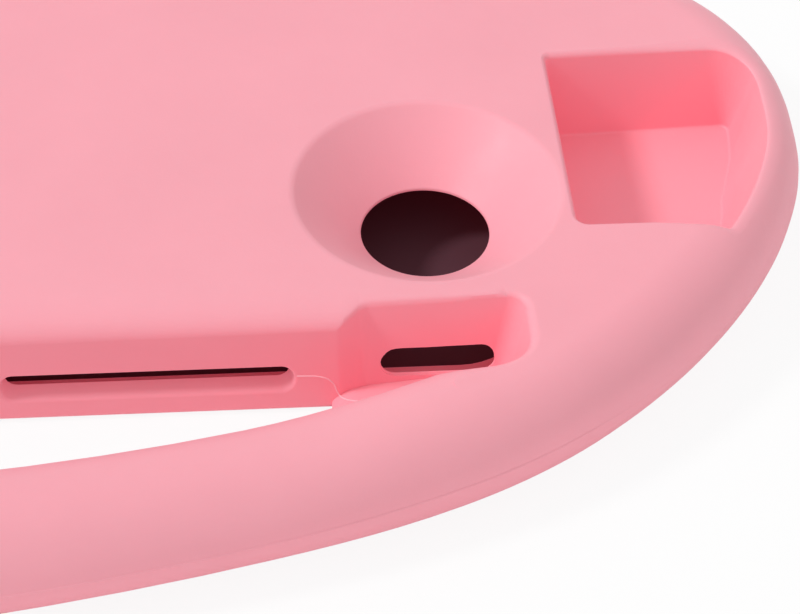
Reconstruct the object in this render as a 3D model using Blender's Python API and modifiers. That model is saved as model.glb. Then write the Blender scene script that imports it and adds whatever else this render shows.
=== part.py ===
"""Moulded foam case for a tablet, with a carry handle, two corner ears and an open pocket in each ear.

The case is one moulded piece. It lies face down as it does when the device is put aside: the front opening
is on the floor and the back face looks up. +X runs along the long side, the handle lies towards -Y, and the
origin is under the middle of the whole piece.

Run it with: blender --background --python part.py
"""

import math

import bmesh
import bpy
from mathutils import Matrix, Vector

MM = 0.001

# The device that the case holds, and the foam around it
DEVICE_LENGTH = 248.6 * MM
DEVICE_WIDTH = 179.5 * MM
DEVICE_THICKNESS = 7.0 * MM
DEVICE_CORNER_RADIUS = 9.0 * MM
DEVICE_CLEARANCE = 0.25 * MM
BACK_WALL = 7.95 * MM
LIP_THICKNESS = 1.5 * MM
LIP_OVERLAP = 3.0 * MM
HANDLE_SIDE_WALL = 2.5 * MM
OUTER_WALL = 9.0 * MM
FAR_CORNER_RADIUS = 22.0 * MM

# Back edge above the handle gap: a soft crown, wider at the middle of the case than at the recess
CROWN_WIDTH = 5.2 * MM
CROWN_DROP = 3.0 * MM
CROWN_MIDDLE_WIDTH = 6.8 * MM
CROWN_MIDDLE_DROP = 4.0 * MM
GAP_FOOT_RADIUS = 0.9 * MM

# Ears: where the outermost point lies, and the arcs that leave it
EAR_REACH = 36.3 * MM
EAR_TIP_FROM_SIDE = 39.35 * MM
EAR_TO_HANDLE_ARCS = [(150 * MM, 2), (34 * MM, 16), (63 * MM, 15), (88 * MM, 35), (175 * MM, 8)]
EAR_TO_END_RADIUS = 34.5 * MM
EAR_TO_END_TURN = 45
EAR_RETURN_RADIUS = 32 * MM

# Handle: width of the grip at its middle and at its root, and how far it stays under the back face
GRIP_WIDTH = 18.6 * MM
GRIP_ROOT_WIDTH = 15.2 * MM
GRIP_ROOT_DROP = 0.6 * MM
GRIP_FLAT = 0.6 * MM
GRIP_SLIM_SHARE = 0.8
GRIP_ROOT_X = 5.0 * MM
EAR_BLEND = 15.0 * MM
GRIP_BEND_STEPS = 13

# Lens dish and its window
LENS_FROM_END = 15.4 * MM
LENS_FROM_SIDE = 20.1 * MM
DISH_RIM_RADIUS = 17.3 * MM
DISH_WINDOW_RADIUS = 8.4 * MM
DISH_LAND = 0.3 * MM
DISH_RIM_FILLET = 1.2 * MM
DISH_SEGMENTS = 64

# Recess beside the handle root, with a window for the side key
RECESS_LEFT = 9.2 * MM
RECESS_RIGHT = 10.5 * MM
RECESS_END_LEAN = 2.6 * MM
RECESS_DEPTH = 2.2 * MM
RECESS_SKEW = 0.5 * MM
RECESS_LEAN = 1.6 * MM
RECESS_SLANT = 3.1 * MM
RECESS_FRONT_CORNER = 4.2 * MM
RECESS_BACK_CORNER = 1.2 * MM
RECESS_CREASE = 3.0 * MM
CROWN_FADE = 7.0 * MM
SIDE_CORNER = 1.8 * MM
RECESS_RIM = 0.5 * MM
RECESS_END_RIM = 1.2 * MM
RECESS_FRONT_TURN = 1.9 * MM
RECESS_FRONT_SHARE = 0.3
WEB_FOOT = 0.9 * MM
WEB_TOP = 3.0 * MM
WEB_RISE = 1.3 * MM
WEB_REACH = 1.2 * MM
WEB_END_RADIUS = 2.0 * MM
KEY_WINDOW_LENGTH = 14.3 * MM
KEY_WINDOW_HEIGHT = 3.95 * MM
KEY_WINDOW_DROP = 9.95 * MM

# Long slot in the side wall
SLOT_LENGTH = 35.3 * MM
SLOT_HEIGHT = 3.4 * MM
SLOT_FROM_LENS = 36.2 * MM
SLOT_DROP = 10.35 * MM
SLOT_LIP_DEPTH = 1.2 * MM
SLOT_LIP_FALL = 1.0 * MM

# Ear pockets
POCKET_WALL = 2.8 * MM
POCKET_WALL_SLANT = 0.5 * MM
POCKET_OUTER_WALL = 5.0 * MM
POCKET_FLOOR = 2.4 * MM
POCKET_FAR_EDGE = 47.1 * MM
POCKET_FAR_SKEW = 0.6 * MM
POCKET_NEAR_EDGE = 12.7 * MM
POCKET_NEAR_SKEW = 0.7 * MM
POCKET_LEAN = 4.6 * MM
POCKET_LEAN_RUN = 16.0 * MM
POCKET_DRAFT = 0.5 * MM
POCKET_CORNER_RADIUS = 1.6 * MM
POCKET_RIM_FILLET = 0.9 * MM
POCKET_OUTER_RIM = 2.0 * MM
POCKET_RIM_LIFT = 0.15 * MM

# Facets
BEND_STEP = math.radians(4.0)
EDGE_STEPS = 5
FILLET_STEPS = 3
CORNER_STEPS = 6
FADE_STEPS = 4
WEB_STEPS = 8
SLOT_END_STEPS = 8
BACK_OFF = 1.2 * MM
MERGE = 0.01 * MM
PAST = 2.0 * MM

# Worked out from the sizes above
HALF_LENGTH = DEVICE_LENGTH / 2 + DEVICE_CLEARANCE
HALF_WIDTH = DEVICE_WIDTH / 2 + DEVICE_CLEARANCE
CAVITY_HEIGHT = DEVICE_THICKNESS + DEVICE_CLEARANCE
HEIGHT = LIP_THICKNESS + CAVITY_HEIGHT + BACK_WALL
MID = HEIGHT / 2
SIDE_WALL_Y = -HALF_WIDTH - HANDLE_SIDE_WALL
END_WALL_X = HALF_LENGTH + OUTER_WALL
FAR_WALL_Y = HALF_WIDTH + OUTER_WALL
LENS_X = HALF_LENGTH - LENS_FROM_END
LENS_Y = -HALF_WIDTH + LENS_FROM_SIDE
EAR_TIP = Vector((HALF_LENGTH + EAR_REACH, -HALF_WIDTH + EAR_TIP_FROM_SIDE))


class Station:
    """One place along an outline: the wall at its top and its foot, the way out, and the edge roundings."""

    def __init__(self, point, outward, width, drop, sink=0.0):
        self.point = point
        self.outward = outward
        self.width = width
        self.drop = drop
        self.sink = sink
        self.foot_point = point
        self.foot_width = width
        self.foot_drop = drop
        self.sweep = math.pi / 2
        self.rim = 0.0

    def cut_back(self, depth):
        """The wall stands this far behind the end of the top rounding, and ends it early in a small rim."""
        depth = max(depth, 0.0)
        self.sweep = math.asin(max(1 - depth / self.width, 0.0))
        self.rim = min(depth, RECESS_RIM)

    def rim_drop(self, behind):
        """How far the small rim falls at a distance behind the wall."""
        if behind >= self.rim:
            return 0.0
        return self.rim * (1 - math.sqrt(1 - (1 - behind / self.rim) ** 2))

    def section(self, steps):
        """Points from the top crest over the edge to the bottom crest, each edge part of an ellipse."""
        rows = []
        for i in range(steps + 1):
            angle = self.sweep * i / steps
            behind = self.width * (math.sin(self.sweep) - math.sin(angle))
            spot = self.point - self.outward * behind
            down = self.drop * (1 - math.cos(angle)) + self.rim_drop(behind)
            rows.append(Vector((spot.x, spot.y, HEIGHT - self.sink - down)))
        for i in range(steps + 1):
            angle = math.pi / 2 * i / steps
            spot = self.foot_point - self.outward * (self.foot_width * (1 - math.cos(angle)))
            up = self.foot_drop * (1 - math.sin(angle))
            rows.append(Vector((spot.x, spot.y, self.sink + up)))
        return rows


def turned(direction, degrees):
    """The direction after a turn to the left."""
    return direction @ Matrix.Rotation(math.radians(-degrees), 2)


def arc(start, heading, radius, turn, steps=None):
    """Points of an arc that leaves start along heading and turns left by turn, and its last heading."""
    side = 1 if turn > 0 else -1
    steps = steps or max(1, math.ceil(math.radians(abs(turn)) / BEND_STEP))
    centre = start + turned(heading, 90 * side) * radius
    spoke = start - centre
    points = [centre + turned(spoke, turn * i / steps) for i in range(1, steps + 1)]
    return points, turned(heading, turn)


def ear_to_handle():
    """The outer outline from the ear's tip to the middle of the handle, as points and outward ways."""
    point, heading = EAR_TIP, Vector((0, -1))
    line = [(point, turned(heading, 90))]
    for radius, turn in EAR_TO_HANDLE_ARCS:
        steps = math.ceil(math.radians(turn) / BEND_STEP)
        points, last = arc(point, heading, radius, -turn, steps)
        line += [(p, turned(heading, 90 - turn * (i + 1) / steps)) for i, p in enumerate(points)]
        point, heading = points[-1], last
    left = 90 - sum(turn for _, turn in EAR_TO_HANDLE_ARCS)
    radius = point.x / math.sin(math.radians(left))
    points, last = arc(point, heading, radius, -left, GRIP_BEND_STEPS)
    line += [
        (p, turned(heading, 90 - left * (i + 1) / GRIP_BEND_STEPS)) for i, p in enumerate(points)
    ]
    line[-1] = (Vector((0, points[-1].y)), Vector((0, -1)))
    return line


def ear_to_far_side():
    """The outer outline from the ear's tip along the end wall to the middle of the far side."""
    points, heading = arc(EAR_TIP, Vector((0, 1)), EAR_TO_END_RADIUS, EAR_TO_END_TURN)
    steps = len(points)
    line = [(p, turned(Vector((1, 0)), EAR_TO_END_TURN * (i + 1) / steps)) for i, p in enumerate(points)]
    turn = math.radians(EAR_TO_END_TURN)
    sideways = points[-1].x - END_WALL_X - EAR_RETURN_RADIUS * (1 - math.cos(turn))
    point = points[-1] + heading * (sideways / math.sin(turn))
    line.append((point, turned(heading, -90)))
    points, last = arc(point, heading, EAR_RETURN_RADIUS, -EAR_TO_END_TURN)
    steps = len(points)
    line += [(p, turned(heading, -90 - EAR_TO_END_TURN * (i + 1) / steps)) for i, p in enumerate(points)]
    corner = Vector((END_WALL_X, FAR_WALL_Y - FAR_CORNER_RADIUS))
    line.append((corner, Vector((1, 0))))
    points, last = arc(corner, Vector((0, 1)), FAR_CORNER_RADIUS, 90, CORNER_STEPS * 2)
    steps = len(points)
    line += [(p, turned(Vector((1, 0)), 90 * (i + 1) / steps)) for i, p in enumerate(points)]
    line.append((Vector((0, FAR_WALL_Y)), Vector((0, 1))))
    return line


def blend(low, high, share):
    """A smooth step from low to high."""
    share = min(max(share, 0.0), 1.0)
    return low + (high - low) * (1 - math.cos(math.pi * share)) / 2


def grip_share(point):
    """0 at the middle of the handle, 1 where the handle becomes the ear."""
    return point.x / LENS_X


def grip_width(point):
    return blend(GRIP_WIDTH, GRIP_ROOT_WIDTH, grip_share(point))


def grip_half(point):
    return min((grip_width(point) - GRIP_FLAT) / 2, MID)


def grip_drop(point):
    """The handle is slimmer near its root, and comes back up to the back face where the ear begins."""
    share = grip_share(point)
    if share < GRIP_SLIM_SHARE:
        return blend(0, GRIP_ROOT_DROP, share / GRIP_SLIM_SHARE)
    return blend(GRIP_ROOT_DROP, 0, (share - GRIP_SLIM_SHARE) / (1 - GRIP_SLIM_SHARE))


def rounded(corners, radii, steps):
    """A path through corners with a fillet at each one that has a radius."""
    path = [corners[0]]
    for before, corner, after, radius in zip(corners, corners[1:], corners[2:], radii):
        if radius <= 0:
            path.append(corner)
            continue
        toward = (before - corner).normalized()
        away = (after - corner).normalized()
        half = toward.angle(away) / 2
        setback = radius / math.tan(half)
        centre = corner + (toward + away).normalized() * (radius / math.sin(half))
        first = corner + toward * setback - centre
        last = corner + away * setback - centre
        sweep = first.angle_signed(last)
        path += [centre + first @ Matrix.Rotation(sweep * i / steps, 2) for i in range(steps + 1)]
    return path + [corners[-1]]


def normals(path, left):
    """The way square to a path at each of its points, on its left or on its right."""
    ways = []
    for i in range(len(path)):
        before = path[max(i - 1, 0)]
        after = path[min(i + 1, len(path) - 1)]
        ways.append(turned((after - before).normalized(), 90 if left else -90))
    return ways


def outer_stations():
    """The outer edge of the right half: handle, ear, end wall and far side, with a full round edge."""
    handle = ear_to_handle()
    handle.reverse()
    stations = []
    for point, outward in handle + ear_to_far_side():
        if point.y < EAR_TIP.y:
            share = (point.x - LENS_X - RECESS_RIGHT - GRIP_ROOT_X) / EAR_BLEND
            width = blend(grip_half(point), MID, share)
            sink = grip_drop(point)
            stations.append(Station(point, outward, width, MID - sink, sink))
        else:
            stations.append(Station(point, outward, MID, MID))
    return stations


def grip_outline():
    """The outline points that belong to the handle, from its middle to its root."""
    line = [pair for pair in ear_to_handle() if pair[0].x < LENS_X + GRIP_ROOT_X]
    line.reverse()
    return line


def recess_path(foot):
    """The wall from the handle's root round the recess to the side wall's middle, at its top or its foot."""
    point, outward = grip_outline()[-1]
    start = point - outward * grip_width(point)
    left = LENS_X - RECESS_LEFT
    right = LENS_X + RECESS_RIGHT
    back = SIDE_WALL_Y + RECESS_DEPTH
    skew = RECESS_SKEW
    if foot:
        right -= RECESS_END_LEAN
        back -= RECESS_LEAN
        skew = 0.0
    front = Vector((right, start.y - RECESS_FRONT_TURN))
    fade = [Vector((left + CROWN_FADE * (1 - i / FADE_STEPS), back)) for i in range(FADE_STEPS)]
    corners = [start, start.lerp(front, RECESS_FRONT_SHARE), front, Vector((right, back + skew))]
    corners += fade
    corners += [
        Vector((left, back)),
        Vector((left - RECESS_SLANT, SIDE_WALL_Y)),
        Vector((0, SIDE_WALL_Y)),
    ]
    radii = [0, RECESS_FRONT_CORNER, RECESS_BACK_CORNER]
    radii += [0] * FADE_STEPS + [RECESS_CREASE, SIDE_CORNER]
    return rounded(corners, radii, CORNER_STEPS)


def gap_stations():
    """The edge of the hand gap and the recess, from the handle's middle round to the side wall's middle."""
    stations = []
    for point, outward in grip_outline():
        inner = point - outward * grip_width(point)
        sink = grip_drop(point)
        stations.append(Station(inner, -outward, grip_half(point), MID - sink, sink))
    path = recess_path(foot=False)
    feet = recess_path(foot=True)
    ways = normals(path, left=True)
    front_ends = CORNER_STEPS + 2
    back_ends = front_ends + CORNER_STEPS + 1
    outline = [p for p, _ in ear_to_handle()]
    width = stations[-1].width
    beside = width + GRIP_FLAT
    for i in range(1, len(path)):
        if i <= front_ends:
            room = distance_to_outline(path[i], outline) - beside
            width = max(min(width, room), RECESS_END_RIM)
            station = Station(path[i], ways[i], width, width)
        elif i <= back_ends:
            width = blend(RECESS_END_RIM, RECESS_RIM, (i - front_ends) / (back_ends - front_ends))
            station = Station(path[i], ways[i], width, width)
        else:
            drop = blend(0, CROWN_DROP, (i - back_ends - 1) / FADE_STEPS)
            station = Station(path[i], Vector((0, -1)), CROWN_WIDTH, min(drop, MID))
            station.cut_back(path[i].y - SIDE_WALL_Y)
        if i == len(path) - 1:
            station.width = CROWN_MIDDLE_WIDTH
            station.drop = min(CROWN_MIDDLE_DROP, MID)
        station.foot_point = feet[i]
        station.foot_width = GAP_FOOT_RADIUS
        station.foot_drop = GAP_FOOT_RADIUS
        stations.append(station)
    return stations


def distance_to_outline(spot, outline):
    """How far a spot lies inside the outer outline."""
    nearest = math.inf
    for a, b in zip(outline, outline[1:]):
        edge = b - a
        along = min(max((spot - a).dot(edge) / edge.length_squared, 0), 1)
        nearest = min(nearest, (spot - a - edge * along).length)
    return nearest


def back_height(spot, outline):
    """The height of the ear's upper surface over a spot: flat, then falling over the round edge."""
    inside = distance_to_outline(spot, outline)
    if inside >= MID:
        return HEIGHT
    return MID + math.sqrt(max(MID**2 - (MID - inside) ** 2, 0))


def new_object(name, mesh, collection):
    obj = bpy.data.objects.new(name, mesh)
    collection.objects.link(obj)
    return obj


def to_mesh(bm, name):
    bmesh.ops.recalc_face_normals(bm, faces=bm.faces)
    mesh = bpy.data.meshes.new(name)
    bm.to_mesh(mesh)
    bm.free()
    return mesh


def strip(bm, rows):
    """Joins neighbouring rows of vertices with faces."""
    for row, beside in zip(rows, rows[1:]):
        for i in range(len(row) - 1):
            corners = [row[i], row[i + 1], beside[i + 1], beside[i]]
            bm.faces.new(corners)


def half_shell():
    """The right half of the foam, open at the plane of symmetry: edges as lofts, flats between them."""
    bm = bmesh.new()
    outer = [[bm.verts.new(p) for p in s.section(EDGE_STEPS)] for s in outer_stations()]
    gap = [[bm.verts.new(p) for p in s.section(EDGE_STEPS)] for s in gap_stations()]
    strip(bm, outer)
    strip(bm, gap)
    pairs = len(grip_outline())
    for level in (0, -1):
        for i in range(pairs - 1):
            corners = [outer[i][level], outer[i + 1][level], gap[i + 1][level], gap[i][level]]
            bm.faces.new(corners)
        rim = [row[level] for row in outer[pairs - 1 :]]
        rim += [row[level] for row in reversed(gap[pairs - 1 :])]
        bm.faces.new(rim)
    bmesh.ops.remove_doubles(bm, verts=bm.verts, dist=MERGE)
    return to_mesh(bm, "half_shell")


def add_mirror(obj):
    mirror = obj.modifiers.new("both_ends", "MIRROR")
    mirror.use_clip = True
    mirror.merge_threshold = MERGE


def add_boolean(obj, cutter, operation):
    step = obj.modifiers.new(cutter.name, "BOOLEAN")
    step.operation = operation
    step.solver = "EXACT"
    step.object = cutter


def prism(outline, low, high):
    """A closed prism over a flat outline."""
    bm = bmesh.new()
    base = bm.faces.new([bm.verts.new((p.x, p.y, low)) for p in outline])
    grown = bmesh.ops.extrude_face_region(bm, geom=[base])
    top = [v for v in grown["geom"] if isinstance(v, bmesh.types.BMVert)]
    bmesh.ops.translate(bm, verts=top, vec=(0, 0, high - low))
    return bm, top


def rounded_rectangle(half_x, half_y, radius):
    """The outline of a rectangle with round corners about the device's middle."""
    outline = []
    for quarter, (sx, sy) in enumerate([(1, 1), (-1, 1), (-1, -1), (1, -1)]):
        for i in range(CORNER_STEPS + 1):
            angle = math.pi / 2 * (quarter + i / CORNER_STEPS)
            x = sx * (half_x - radius) + radius * math.cos(angle)
            y = sy * (half_y - radius) + radius * math.sin(angle)
            outline.append(Vector((x, y)))
    return outline


def loft(rings, name):
    """A closed body through rings of points, with its two ends filled."""
    bm = bmesh.new()
    made = [[bm.verts.new(p) for p in ring] for ring in rings]
    for near, deep in zip(made, made[1:]):
        for i in range(len(near)):
            j = (i + 1) % len(near)
            bm.faces.new([near[i], near[j], deep[j], deep[i]])
    bm.faces.new(made[0])
    bm.faces.new(made[-1])
    return to_mesh(bm, name)


def height_on(line, x):
    """The y of a line of points at x, between its points."""
    for a, b in zip(line, line[1:]):
        if min(a.x, b.x) <= x <= max(a.x, b.x):
            return a.lerp(b, (x - a.x) / (b.x - a.x)).y
    return line[-1].y


def web():
    """The floor of the recess, which ties the handle's root to the side wall. Its left end is round."""
    left = LENS_X - RECESS_LEFT - RECESS_SLANT - WEB_REACH
    right = LENS_X + RECESS_RIGHT + RECESS_END_RIM
    back = SIDE_WALL_Y + RECESS_DEPTH
    front = [p - n * (MID + RECESS_RIM) for p, n in ear_to_handle()]
    spots = []
    for i in range(WEB_STEPS + 1):
        angle = math.pi / 2 * i / WEB_STEPS
        fall = WEB_END_RADIUS * (1 - math.sin(angle))
        spots.append((left + WEB_END_RADIUS * (1 - math.cos(angle)), fall))
    spots.append((right, 0.0))
    rings = []
    for x, fall in spots:
        top = WEB_TOP + WEB_RISE * (x - left) / (LENS_X - left) - fall
        near = height_on(front, x)
        rings.append([(x, near, WEB_FOOT), (x, back, WEB_FOOT), (x, back, top), (x, near, top)])
    return loft(rings, "web")


def cavity():
    """The space for the device."""
    outline = rounded_rectangle(HALF_LENGTH, HALF_WIDTH, DEVICE_CORNER_RADIUS)
    bm, _ = prism(outline, LIP_THICKNESS, LIP_THICKNESS + CAVITY_HEIGHT)
    return to_mesh(bm, "cavity")


def front_opening():
    """The opening over the screen, smaller than the device so that a lip holds it."""
    outline = rounded_rectangle(
        HALF_LENGTH - LIP_OVERLAP,
        HALF_WIDTH - LIP_OVERLAP,
        DEVICE_CORNER_RADIUS,
    )
    bm, _ = prism(outline, -PAST, LIP_THICKNESS + CAVITY_HEIGHT / 2)
    return to_mesh(bm, "front_opening")


def dish():
    """The conical dish round the lens, its rim fillet and its round window, as a turned profile."""
    land = HEIGHT - BACK_WALL + DISH_LAND
    slope = Vector((DISH_RIM_RADIUS - DISH_WINDOW_RADIUS, HEIGHT - land))
    lean = math.atan2(slope.y, slope.x)
    profile = [(0.0, HEIGHT + PAST)]
    reach = DISH_RIM_FILLET * math.tan(lean / 2)
    centre = Vector((DISH_RIM_RADIUS + reach, HEIGHT - DISH_RIM_FILLET))
    profile.append((centre.x, HEIGHT + PAST))
    for i in range(FILLET_STEPS + 1):
        angle = lean * i / FILLET_STEPS
        x = centre.x - DISH_RIM_FILLET * math.sin(angle)
        profile.append((x, centre.y + DISH_RIM_FILLET * math.cos(angle)))
    profile.append((DISH_WINDOW_RADIUS, land))
    floor = LIP_THICKNESS + CAVITY_HEIGHT / 2
    profile.append((DISH_WINDOW_RADIUS, floor))
    profile.append((0.0, floor))
    bm = bmesh.new()
    line = [bm.verts.new((x, 0, z)) for x, z in profile]
    edges = [bm.edges.new(pair) for pair in zip(line, line[1:])]
    bmesh.ops.spin(
        bm,
        geom=line + edges,
        cent=(0, 0, 0),
        axis=(0, 0, 1),
        angle=math.tau,
        steps=DISH_SEGMENTS,
        use_merge=True,
    )
    bmesh.ops.remove_doubles(bm, verts=bm.verts, dist=MERGE)
    bmesh.ops.translate(bm, verts=bm.verts, vec=(LENS_X, LENS_Y, 0))
    return to_mesh(bm, "dish")


def window(name, centre_x, drop, length, height, face_y, lip_depth=0.0, lip_fall=0.0):
    """A cutter with round ends that goes through the side wall, with a bevelled lower lip."""
    radius = height / 2
    outline = []
    for side in (1, -1):
        for i in range(SLOT_END_STEPS + 1):
            angle = math.pi * (i / SLOT_END_STEPS - 0.5)
            x = side * (length / 2 - radius + radius * math.cos(angle))
            outline.append((x, side * radius * math.sin(angle)))
    slope = lip_fall / lip_depth if lip_depth else 0.0
    rings = []
    for y in (face_y - PAST, face_y + lip_depth, -HALF_WIDTH + PAST):
        fall = slope * max(face_y + lip_depth - y, 0)
        wider = 1 + fall / length
        ring = []
        for x, z in outline:
            down = fall * (radius - z) / height
            ring.append((centre_x + x * wider, y, HEIGHT - drop + z - down))
        rings.append(ring)
    return loft(rings, name)


def pocket_outline(outer):
    """The pocket's wall at the top: straight on three sides, and beside the ear's edge on the fourth."""
    left = HALF_LENGTH + POCKET_WALL
    far = -HALF_WIDTH + POCKET_FAR_EDGE
    near = -HALF_WIDTH + POCKET_NEAR_EDGE
    near_right = near - POCKET_NEAR_SKEW
    curve = [p - n * POCKET_OUTER_WALL for p, n in outer]
    crossing = []
    for before, after in zip(curve, curve[1:]):
        for level in (near_right, far):
            if before.x > left and (before.y - level) * (after.y - level) < 0:
                crossing.append(before.lerp(after, (level - before.y) / (after.y - before.y)))
    curve = [p for p in curve if near_right + BACK_OFF < p.y < far - BACK_OFF and p.x > left]
    near_left = Vector((left + POCKET_WALL_SLANT, near))
    middle = near_left.lerp(Vector((crossing[0].x, near)), 0.5)
    far_left = Vector((left, far - POCKET_FAR_SKEW))
    corners = [middle, crossing[0]] + curve + [crossing[1], far_left, near_left, middle]
    radii = [0.0] + [0.0] * len(curve)
    radii += [POCKET_CORNER_RADIUS, 0.0, POCKET_CORNER_RADIUS]
    return rounded(corners, radii, CORNER_STEPS)[:-1]


def pocket():
    """The pocket in the ear: a loft from its floor up to a rim that follows the round edge of the ear."""
    handle = ear_to_handle()
    handle.reverse()
    outer = handle + ear_to_far_side()
    outline = [p for p, _ in outer]
    rim = pocket_outline(outer)
    far = -HALF_WIDTH + POCKET_FAR_EDGE
    middle = Vector((HALF_LENGTH + POCKET_WALL + MID, far - (POCKET_FAR_EDGE - POCKET_NEAR_EDGE) / 2))
    ways = normals([rim[-1]] + rim + [rim[0]], left=False)[1:-1]
    span = EAR_REACH - POCKET_OUTER_WALL - MID
    shares = [min(max((point.x - middle.x) / span, 0), 1) for point in rim]
    floor = []
    for point, share in zip(rim, shares):
        lean = POCKET_LEAN * share * min((far - point.y) / POCKET_LEAN_RUN, 1)
        spot = point + (middle - point).normalized() * POCKET_DRAFT
        floor.append((spot.x - lean, spot.y, POCKET_FLOOR))
    rings = [floor]
    for i in range(FILLET_STEPS + 1):
        angle = math.pi / 2 * i / FILLET_STEPS
        down = POCKET_RIM_FILLET * (1 - math.sin(angle)) - POCKET_RIM_LIFT * i / FILLET_STEPS
        ring = []
        for point, way, share in zip(rim, ways, shares):
            rim_width = blend(POCKET_RIM_FILLET, POCKET_OUTER_RIM, share)
            spot = point + way * (rim_width * (1 - math.cos(angle)))
            ring.append((spot.x, spot.y, back_height(spot, outline) - down))
        rings.append(ring)
    rings.append([(x, y, z + PAST) for x, y, z in rings[-1]])
    return loft(rings, "pocket")


def foam():
    """Smooth closed-cell foam in pale pink."""
    material = bpy.data.materials.new("pink_foam")
    material.use_nodes = True
    shader = material.node_tree.nodes["Principled BSDF"]
    shader.inputs["Base Color"].default_value = (0.93, 0.39, 0.45, 1)
    shader.inputs["Roughness"].default_value = 0.55
    shader.inputs["Metallic"].default_value = 0.0
    return material


def build():
    for obj in list(bpy.data.objects):
        bpy.data.objects.remove(obj)
    parts = bpy.data.collections.new("tablet_case")
    cutters = bpy.data.collections.new("cutters")
    bpy.context.scene.collection.children.link(parts)
    bpy.context.scene.collection.children.link(cutters)

    case = new_object("case_shell", half_shell(), parts)
    case.data.materials.append(foam())
    add_mirror(case)

    tools = [
        (web(), "UNION", True),
        (cavity(), "DIFFERENCE", False),
        (front_opening(), "DIFFERENCE", False),
        (dish(), "DIFFERENCE", False),
        (
            window(
                "key_window",
                LENS_X,
                KEY_WINDOW_DROP,
                KEY_WINDOW_LENGTH,
                KEY_WINDOW_HEIGHT,
                SIDE_WALL_Y,
            ),
            "DIFFERENCE",
            False,
        ),
        (
            window(
                "side_slot",
                LENS_X - SLOT_FROM_LENS,
                SLOT_DROP,
                SLOT_LENGTH,
                SLOT_HEIGHT,
                SIDE_WALL_Y,
                SLOT_LIP_DEPTH,
                SLOT_LIP_FALL,
            ),
            "DIFFERENCE",
            False,
        ),
        (pocket(), "DIFFERENCE", True),
    ]
    placed = [case]
    for mesh, operation, both_ends in tools:
        cutter = new_object(mesh.name, mesh, cutters)
        cutter.hide_render = True
        cutter.display_type = "WIRE"
        if both_ends:
            add_mirror(cutter)
        add_boolean(case, cutter, operation)
        placed.append(cutter)

    reach_to_handle = -ear_to_handle()[-1][0].y
    middle = bpy.data.objects.new("middle_of_the_piece", None)
    middle.location = (0, (reach_to_handle - FAR_WALL_Y) / 2, 0)
    parts.objects.link(middle)
    for obj in placed:
        obj.parent = middle
    case.data.shade_smooth()
    case.data.set_sharp_from_angle(angle=math.radians(35))


build()
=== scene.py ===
"""Looks of a moulded foam case for a tablet, with a carry handle and two corner ears.

The case lies face down on a pale floor. Its smooth foam surface is made here in one piece, with soft rims
round the dish, the ear pockets, the recess and the side slot. Fine lines show where the mould parted.
"""

import math

import bmesh
import bpy
from bpy.props import FloatProperty, FloatVectorProperty, IntProperty, PointerProperty
from mathutils import Matrix, Vector


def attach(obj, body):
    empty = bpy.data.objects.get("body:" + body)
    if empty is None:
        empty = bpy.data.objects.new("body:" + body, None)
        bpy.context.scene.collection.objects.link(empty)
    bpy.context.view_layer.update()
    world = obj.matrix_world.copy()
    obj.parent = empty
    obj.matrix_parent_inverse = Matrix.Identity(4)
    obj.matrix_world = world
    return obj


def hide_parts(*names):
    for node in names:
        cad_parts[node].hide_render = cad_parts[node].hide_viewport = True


bl_info = {
    "name": "Foam tablet case",
    "version": (1, 0, 0),
    "blender": (4, 5, 0),
    "location": "3D View > Sidebar > Foam case",
    "description": "A moulded foam tablet case with a carry handle, on a pale studio floor",
    "category": "Add Mesh",
}

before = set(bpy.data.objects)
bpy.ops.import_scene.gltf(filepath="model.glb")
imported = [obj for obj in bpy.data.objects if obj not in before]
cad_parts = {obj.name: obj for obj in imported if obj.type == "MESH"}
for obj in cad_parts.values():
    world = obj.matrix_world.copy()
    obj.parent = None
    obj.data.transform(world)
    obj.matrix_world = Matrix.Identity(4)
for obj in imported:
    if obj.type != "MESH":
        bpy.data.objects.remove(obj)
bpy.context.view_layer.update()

CASE_NODE = "case_shell"
MM = 0.001
WELD = 0.01 * MM
PAST = 2.0 * MM
RIM_LIFT = 0.04 * MM
QUARTER = math.pi / 2
RIDGE_SHAPE = ((0.6, 0.7), (0.0, 1.0), (-0.6, 0.7))
DISH_STEPS = 144
MOUTH_STEPS = 4
WEB_END_SHARE = 0.9
SHARP_ANGLE = math.radians(32)

# The lip is this many times as thick as its soft edge, which bends at this share of its width
LIP_PER_EDGE = 3
LIP_EDGE_BEND = 0.3

# Round window's edge: its width as a share of the land, then spots outwards and upwards in shares of that
WINDOW_EDGE_SHARE = 0.8
WINDOW_EDGE = ((0.25, 0.1), (0.0, -0.4))

# Shares of the foam's colour in its darker and lighter patches, and how far its roughness varies
DARK_PATCH = 0.975
LIGHT_PATCH = 1.02
GLOSS_SPREAD = 0.05

# Studio: a floor just under the case, a broad lamp and an even sky
FLOOR_SIZE = 3.0
FLOOR_GAP = 0.2 * MM
PAPER_COLOUR = (0.9, 0.9, 0.9, 1)
LAMP_STRENGTH = 1.45
LAMP_WIDTH = math.radians(11)
LAMP_TOWARDS = (-0.78, -0.06, 0.8)
SKY_STRENGTH = 0.67

# Camera: its turns, its distance, and the spot that it aims at, left of and nearer than the dish's axis
CAMERA_TILT = math.radians(44.439)
CAMERA_PAN = math.radians(4.99)
CAMERA_ROLL = math.radians(1.465)
CAMERA_DISTANCE = 305.24 * MM
AIM_LEFT = 4.921 * MM
AIM_NEARER = 21.61 * MM

# Parting line: along from the slot's end, out of the side wall and down from the back, in millimetres
PARTING_ROUTE = (
    (0.85, 0.0, 10.43),
    (1.65, 0.0, 10.47),
    (3.39, 0.0, 10.56),
    (4.39, 0.0, 10.9),
    (5.01, 0.0, 11.36),
    (5.51, 0.0, 12.11),
    (5.76, 0.0, 12.85),
    (5.95, 0.0, 13.6),
    (6.2, 0.05, 14.15),
    (6.61, 0.67, 14.05),
    (7.2, 1.23, 13.82),
    (8.06, 1.62, 13.63),
    (8.6, 1.75, 13.56),
)


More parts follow.
